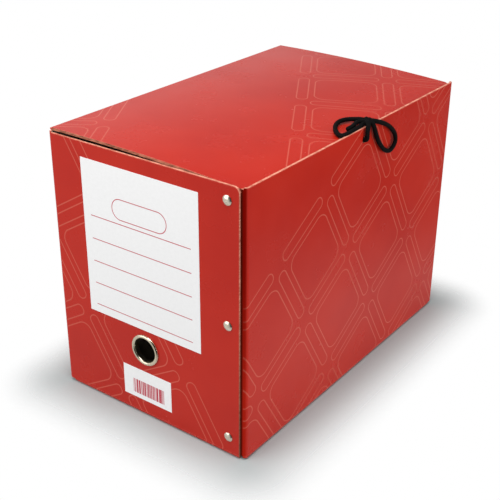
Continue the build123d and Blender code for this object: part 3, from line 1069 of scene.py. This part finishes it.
@dataclass
class LaceBow:
    """The lace: two loops, a tail and the strands that go through the holes, with their knots.

    A stretch is a tube along a smooth spline, whose surface rises and falls where two sets of threads cross.
    """

    edge: Point = (HALF_WIDTH, 0.0, HEIGHT)
    radius: float = 2.0 * MM
    braid_pitch: float = 3.4 * MM
    braid_threads: int = 4
    braid_middle: float = 0.94  # of the radius
    braid_swing: float = 0.085
    end_least: float = 0.02
    around: int = 40
    step: float = 0.22 * MM
    fewest_steps: int = 8
    spline_steps: int = 24
    path_every: int = 8
    knot_place: Point = (-2.9, 8.6, 2.7)
    knot_facing: Point = (0.92, 0.36, -0.12)
    knot_high: float = 1.7 * MM
    knot_reach: float = 2.9 * MM
    knot_rise: float = 2.6 * MM
    knot_turn: float = 2.1 * math.pi  # to either side of the middle
    knot_start: float = 0.6
    knot_points: int = 260
    knot_fullness: float = 1.02  # of the lace's radius
    stop_knots: tuple[tuple[str, str, Point], ...] = (
        ("lid_stop_knot", "lid", (0.0, 0.0, 1.0)),
        ("panel_stop_knot", "box", (1.0, 0.0, 0.0)),
    )
    routes: tuple[Route, ...] = (
        Route("bow_left_loop", (
            (-4.6, 9.0, 3.2), (-8.8, 9.2, 3.2), (-14.6, 7.4, 2.5), (-20.2, 3.8, 2.15), (-22.8, -4.8, 1.9),
            (-18.9, -16.2, 1.6), (-11.8, -25.9, 1.1), (-4.3, -31.3, 0.6), (-2.8, -23.8, 0.42),
            (-3.1, -13.1, 0.44), (-3.5, -2.8, 0.6), (-3.4, 6.0, 1.9),
        ), "lid"),
        Route("bow_right_loop", (
            (-3.4, 9.6, 3.0), (-0.8, 11.6, 3.3), (1.8, 13.6, 2.6), (3.05, 18.6, 0.9), (3.1, 26.0, -2.2),
            (3.05, 34.5, -6.4), (3.1, 42.6, -12.0), (3.05, 49.2, -18.4), (3.1, 51.0, -25.0),
            (3.05, 47.4, -29.9), (3.1, 39.8, -32.0), (3.05, 31.0, -27.8), (3.1, 23.6, -21.2),
            (3.05, 17.8, -14.2), (3.1, 13.6, -6.8), (3.0, 10.4, -1.0), (2.2, 8.8, 2.6), (-0.6, 8.4, 3.6),
            (-2.6, 8.6, 3.0),
        ), "lid"),
        Route("bow_tail", (
            (-4.2, 7.2, 2.8), (-8.4, 5.0, 2.4), (-9.2, 0.6, 1.7), (-8.2, -4.5, 1.25), (-7.7, -9.0, 1.15),
            (-7.7, -12.5, 1.1), (-8.1, -15.2, 1.2),
        ), "lid"),
        Route("bow_edge_strand", (
            (-2.6, 7.2, 3.4), (-0.2, 4.4, 4.2), (2.7, 1.7, 2.4), (2.9, 0.6, -1.2), (2.9, 0.4, -4.2),
        ), "lid"),
        Route("lid_lace", (
            (-11.5, 15.0, -9.0), (-11.5, 15.05, -2.6), (-11.4, 14.9, 0.7), (-6.8, 10.4, 0.7),
        ), "lid"),
        Route("panel_lace", (
            (-6.5, 0.9, -10.5), (-0.6, 0.8, -10.5), (2.7, 0.72, -10.4), (2.85, 0.5, -5.0), (2.9, 0.5, -2.0),
            (2.85, 0.9, 0.6),
        ), "box"),
    )

    def build(self, material: Material) -> None:
        """Args:
            material: the lace's finish.
        """
        paths: dict[str, np.ndarray] = {}
        for route in self.routes:
            paths[route.name] = self._spline(route)
            tube = self._tube(paths[route.name], self.radius)
            self._piece(route.name, tube, material, route.body)
        bow_knot = self._knot(self._place(self.knot_place), self.knot_facing, self.knot_high)
        self._piece("bow_knot", bow_knot, material, "lid")
        for name, body, facing in self.stop_knots:
            low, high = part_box(name)
            stop_knot = self._knot((low + high) / 2, facing, self.knot_reach)
            self._piece(name, stop_knot, material, body)

    def _place(self, point: Point) -> Vector:
        """Place of a route's point, in metres."""
        return Vector(self.edge) + Vector(point) * MM

    def _spline(self, route: Route) -> np.ndarray:
        """Points along the smooth spline that has the route's points as its control points.

        Args:
            route: the stretch.

        Returns:
            Evenly spaced points, one row each.
        """
        curve = bpy.data.curves.new(route.name + "_line", "CURVE")
        curve.dimensions = "3D"
        spline = curve.splines.new("NURBS")
        spline.points.add(len(route.points) - 1)
        for control, point in zip(spline.points, route.points):
            control.co = (*self._place(point), 1.0)
        spline.order_u = 3
        spline.use_endpoint_u = True
        spline.resolution_u = self.spline_steps
        holder = bpy.data.objects.new(route.name + "_line", curve)
        mesh = bpy.data.meshes.new_from_object(holder)
        line = np.empty(len(mesh.vertices) * 3)
        mesh.vertices.foreach_get("co", line)
        bpy.data.meshes.remove(mesh)
        bpy.data.objects.remove(holder)
        bpy.data.curves.remove(curve)
        return self._even(line.reshape(-1, 3))

    def _even(self, line: np.ndarray) -> np.ndarray:
        """Points at equal steps along a line.

        Args:
            line: points of the line.

        Returns:
            The new points.
        """
        along = distances(line)
        wanted = np.linspace(0.0, along[-1], max(self.fewest_steps, int(along[-1] / self.step)))
        return np.stack([np.interp(wanted, along, line[:, axis]) for axis in (X, Y, Z)], axis=1)

    @staticmethod
    def _frames(line: np.ndarray) -> tuple[np.ndarray, np.ndarray]:
        """Two directions square to a line at each point, with as little twist as the line allows.

        Each first direction is the one before it, less its part along the line, so it goes point by point;
        the second is square to both.

        Args:
            line: points of the line.

        Returns:
            The two arrays of directions.
        """
        tangent = np.gradient(line, axis=0)
        tangent /= np.linalg.norm(tangent, axis=1, keepdims=True)
        start = np.cross(tangent[0], (0.0, 0.0, 1.0))
        if np.linalg.norm(start) < 0.2:  # the line starts nearly upright
            start = np.cross(tangent[0], (1.0, 0.0, 0.0))
        first = np.empty_like(line)
        first[0] = start / np.linalg.norm(start)
        for index in range(1, len(line)):
            side = first[index - 1] - tangent[index] * (first[index - 1] @ tangent[index])
            first[index] = side / np.linalg.norm(side)
        return first, np.cross(tangent, first)

    def _tube(self, line: np.ndarray, radius: float) -> Surface:
        """Braided tube: radius by angle and length, raised where two sets of crossing threads meet.

        The rise is the product of the two sets' sines, which turn against each other along the line. The
        ends close in a half round, so that a bare end is sealed as a lace's is.

        Args:
            line: points of the centreline.
            radius: radius of the tube.

        Returns:
            Grid of points, and the two map coordinates.
        """
        first, second = self._frames(line)
        angle = np.linspace(0.0, 2 * np.pi, self.around, endpoint=False)[None, :]
        along = distances(line)[:, None]
        turn = 2 * np.pi * along / self.braid_pitch
        weave = np.sin(self.braid_threads * angle + turn) * np.sin(self.braid_threads * angle - turn)
        end = np.minimum(along, along[-1] - along) / radius
        taper = np.sqrt(np.clip(1.0 - (1.0 - np.clip(end, 0.0, 1.0)) ** 2, 0.0, 1.0))
        width = radius * (self.braid_middle + self.braid_swing * weave) * np.maximum(taper, self.end_least)
        ring = np.cos(angle)[..., None] * first[:, None, :] + np.sin(angle)[..., None] * second[:, None, :]
        grid = line[:, None, :] + width[..., None] * ring
        return grid, np.broadcast_to(angle / (2 * np.pi), width.shape), np.broadcast_to(along, width.shape)

    def _knot(self, centre: Vector, facing: Point, high: float) -> Surface:
        """Knot: the lace wound two close turns about an axis, its two ends drawn in to the middle.

        A helix whose reach falls as the root of one less the sixth power of the way to its end.

        Args:
            centre: middle of the knot.
            facing: axis of the turns.
            high: reach of the turns along their second direction, less where the knot is drawn flat.

        Returns:
            Grid of points, and the two map coordinates.
        """
        axis = Vector(facing).normalized()
        aside = Vector((0.0, 0.0, 1.0)) if abs(axis.z) < 0.9 else Vector((1.0, 0.0, 0.0))
        side = axis.cross(aside).normalized()
        turn = np.linspace(-1.0, 1.0, self.knot_points)
        angle = turn * self.knot_turn + self.knot_start
        reach = np.sqrt(np.clip(1.0 - np.abs(turn) ** 6, 0.05, 1.0))
        line = (
            np.array(centre)[None, :]
            + (self.knot_reach * reach * np.cos(angle))[:, None] * np.array(side)
            + (high * reach * np.sin(angle))[:, None] * np.array(axis.cross(side))
            + (self.knot_rise * turn)[:, None] * np.array(axis)
        )
        return self._tube(self._even(line), self.radius * self.knot_fullness)

    @staticmethod
    def _piece(name: str, surface: Surface, material: Material, body: str) -> bpy.types.Object:
        """Object from a tube's grid, closed around and capped at both ends.

        Args:
            name: name of the node that it stands for.
            surface: grid of points and the two map coordinates.
            material: its finish.
            body: the body that it rides on.

        Returns:
            The object.
        """
        grid, around, along = surface
        rows, columns = grid.shape[:2]
        quads = closed_quads(rows, columns)
        caps = [list(range(columns))[::-1], list(range((rows - 1) * columns, rows * columns))]
        mesh = bpy.data.meshes.new(name + "_braid")
        mesh.from_pydata(grid.reshape(-1, 3).tolist(), [], quads.tolist() + caps)
        corners = np.empty(len(mesh.loops), dtype=np.int64)
        mesh.loops.foreach_get("vertex_index", corners)
        # The map goes on to a whole turn where a face of the last column comes back to the first.
        seam = np.zeros(len(corners), dtype=bool)
        column = quads % columns
        seam[: quads.size] = ((column == 0) & (column[:, :1] == columns - 1)).reshape(-1)
        turn = np.where(seam, 1.0, around.reshape(-1)[corners])
        chart = np.stack((turn, along.reshape(-1)[corners]), axis=1)
        mesh.uv_layers.new(name="lace").data.foreach_set("uv", chart.reshape(-1))
        mesh.polygons.foreach_set("use_smooth", np.ones(len(mesh.polygons), dtype=bool))
        mesh.materials.append(material)
        mesh.update()
        piece = bpy.data.objects.new(name + "_lace", mesh)
        bpy.context.scene.collection.objects.link(piece)
        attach(piece, body)
        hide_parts(name)
        LOG.info("built %s: %d faces", piece.name, len(mesh.polygons))
        return piece


@dataclass(frozen=True)
class Lamp:
    """A square soft lamp: where it stands, the length of its sides, and its watts."""

    name: str
    place: Point
    size: float
    power: float


@dataclass
class Studio:
    """Camera at the photograph's viewing angle, pale floor, soft light and a white surround."""

    azimuth: float = 36.24
    elevation: float = 26.51
    roll: float = 0.38
    distance: float = 0.9081
    target: Point = (-5.3 * MM, -15.3 * MM, 101.6 * MM)
    focal_pixels: float = 970.3
    image_pixels: float = 500.0
    sensor: float = 36.0
    floor_reach: float = 0.9
    floor_below: float = 0.2 * MM
    floor_rings: int = 11
    floor_spokes: int = 64
    floor_dark: Colour = (0.45, 0.49, 0.49)
    floor_light: Colour = (0.47, 0.51, 0.51)
    floor_grain: Grain = Grain(3.0, 2.0, 0.5)
    floor_share: Step = Step(0.3, 0.7)
    floor_fade: Step = Step(0.0, 0.068, 1.0, 0.0)  # by the distance from the box
    footprint: Point = (HALF_WIDTH, HALF_DEPTH, 0.0)
    lamps: tuple[Lamp, ...] = (
        Lamp("top light", (0.15, -0.35, 1.15), 0.6, 7.0),
        Lamp("front light", (-0.75, -1.2, 0.75), 1.3, 9.2),
        Lamp("side light", (1.35, 0.15, 0.25), 0.8, 6.1),
    )
    lamp_target: Point = (0.0, 0.0, 0.12)
    # The surround that gloss shows, by how far a direction points backward, rightward or upward.
    backward: Point = (-0.59, 0.81, 0.0)
    table_low: Step = Step(-0.52, -0.40, 1.0, 0.0)
    table_back: Step = Step(0.20, 0.45, 0.45, 0.90)
    side_share: Step = Step(-0.15, 0.35)
    front_grey: float = 0.62
    side_grey: float = 0.03
    backdrop: Step = Step(0.50, 0.68)
    upward: Point = (0.35, 0.0, 1.0)
    upward_lift: float = 0.21
    overhead: Step = Step(0.20, 0.40, 1.0, 0.16)
    dome: float = 0.5

    def build(self, effects: Effects) -> None:
        """Build the camera, the floor, the lamps and the world.

        Args:
            effects: the shared node groups.
        """
        bpy.context.scene.view_settings.view_transform = "Standard"
        self._camera()
        self._floor(effects)
        for lamp in self.lamps:
            self._lamp(lamp)
        self._world()

    def _camera(self) -> None:
        """Camera looking at its target, turned by the photograph's small roll."""
        turn, rise, roll = (math.radians(value) for value in (self.azimuth, self.elevation, self.roll))
        back = Vector((math.sin(turn) * math.cos(rise), -math.cos(turn) * math.cos(rise), math.sin(rise)))
        right = Vector((math.cos(turn), math.sin(turn), 0.0))
        above = back.cross(right)
        across = math.cos(roll) * right + math.sin(roll) * above
        upward = math.cos(roll) * above - math.sin(roll) * right
        data = bpy.data.cameras.new("camera")
        data.sensor_width = self.sensor
        data.lens = self.sensor * self.focal_pixels / self.image_pixels
        data.clip_start = 0.01
        data.clip_end = 50.0
        camera = bpy.data.objects.new("camera", data)
        place = Vector(self.target) + back * self.distance
        camera.matrix_world = Matrix.Translation(place) @ Matrix((across, upward, back)).transposed().to_4x4()
        bpy.context.scene.collection.objects.link(camera)
        bpy.context.scene.camera = camera

    def _floor(self, effects: Effects) -> None:
        """Flat round floor that fades into the white surround away from the box.

        A polar grid about a middle point: the reach of a ring grows with the square of its number.

        Args:
            effects: the shared node groups.
        """
        rings, spokes = self.floor_rings, self.floor_spokes
        reach = np.linspace(0.0, 1.0, rings + 1)[1:, None] ** 2 * self.floor_reach
        angle = np.linspace(0.0, 2 * np.pi, spokes, endpoint=False)[None, :]
        grid = np.stack((reach * np.cos(angle), reach * np.sin(angle), 0.0 * reach * angle), axis=-1)
        points = np.concatenate((np.zeros((1, 3)), grid.reshape(-1, 3))) - (0.0, 0.0, self.floor_below)
        quads = 1 + closed_quads(rings, spokes)[:, ::-1]
        spoke = np.arange(spokes)
        fan = np.stack((0 * spoke, 1 + spoke, 1 + (spoke + 1) % spokes), axis=-1)
        mesh = bpy.data.meshes.new("floor")
        mesh.from_pydata(points.tolist(), [], quads.tolist() + fan.tolist())
        sketch = FinishSketch("pale floor")
        tone = sketch.ramp(sketch.noise(sketch.point, self.floor_grain), self.floor_share)
        away = sketch.group(effects.rounded, Point=sketch.point, Half_size=self.footprint, Round=0.0)[0]
        mesh.materials.append(sketch.finish({
            "Base Color": sketch.mix(tone, self.floor_dark, self.floor_light),
            "Alpha": sketch.ramp(away, self.floor_fade),
            "Roughness": 0.9,
            "Specular IOR Level": 0.0,
        }))
        floor = bpy.data.objects.new("floor", mesh)
        bpy.context.scene.collection.objects.link(floor)

    def _lamp(self, lamp: Lamp) -> None:
        """Square soft lamp that looks at the box.

        Args:
            lamp: the lamp's settings.
        """
        data = bpy.data.lights.new(lamp.name, "AREA")
        data.shape = "SQUARE"
        data.size = lamp.size
        data.energy = lamp.power
        light = bpy.data.objects.new(lamp.name, data)
        look = (Vector(self.lamp_target) - Vector(lamp.place)).to_track_quat("-Z", "Y")
        light.matrix_world = Matrix.Translation(lamp.place) @ look.to_matrix().to_4x4()
        bpy.context.scene.collection.objects.link(light)

    def _world(self) -> None:
        """Plain white dome for the light, white all round for the camera, and a surround that gloss shows.

        The surround is white behind the box, grey to the front, and darker to the right and overhead;
        low on the right it pales again toward the back, as a table does near the box.
        """
        world = bpy.data.worlds.new("studio")
        world.use_nodes = True
        bpy.context.scene.world = world
        sketch = NodeSketch(world.node_tree)
        rays = sketch.add("ShaderNodeLightPath").outputs
        direction = sketch.add("ShaderNodeTexCoord").outputs["Generated"]
        behind = sketch.dot(direction, self.backward)
        rightward, _, upward = sketch.split(direction)
        table = sketch.math(
            "MULTIPLY", sketch.ramp(upward, self.table_low), sketch.ramp(behind, self.table_back),
        )
        beside = sketch.math("ADD", table, self.side_grey)
        around = sketch.blend(sketch.ramp(rightward, self.side_share), self.front_grey, beside)
        backdrop = sketch.math("MAXIMUM", around, sketch.ramp(behind, self.backdrop))
        height = sketch.math("ADD", sketch.dot(direction, self.upward), self.upward_lift)
        surround = sketch.math("MULTIPLY", backdrop, sketch.ramp(height, self.overhead))
        mirrored = sketch.math("MAXIMUM", rays["Is Glossy Ray"], rays["Is Transmission Ray"])
        lit = sketch.blend(mirrored, self.dome, surround)
        strength = sketch.math("MAXIMUM", rays["Is Camera Ray"], lit)
        light = sketch.out("ShaderNodeBackground", {"Color": (1.0, 1.0, 1.0), "Strength": strength})
        sketch.feed(sketch.add("ShaderNodeOutputWorld").inputs["Surface"], light)


def main() -> None:
    """Dress the box, build its lace and set up the studio."""
    logging.basicConfig(level=logging.INFO, format="%(name)s: %(message)s")
    effects = Effects()
    Sleeve(effects).dress()
    Lid(effects).dress()
    Fittings().dress()
    Labels(effects).dress()
    LaceBow().build(LaceFinish().material())
    Studio().build(effects)


if __name__ == "__main__":
    main()
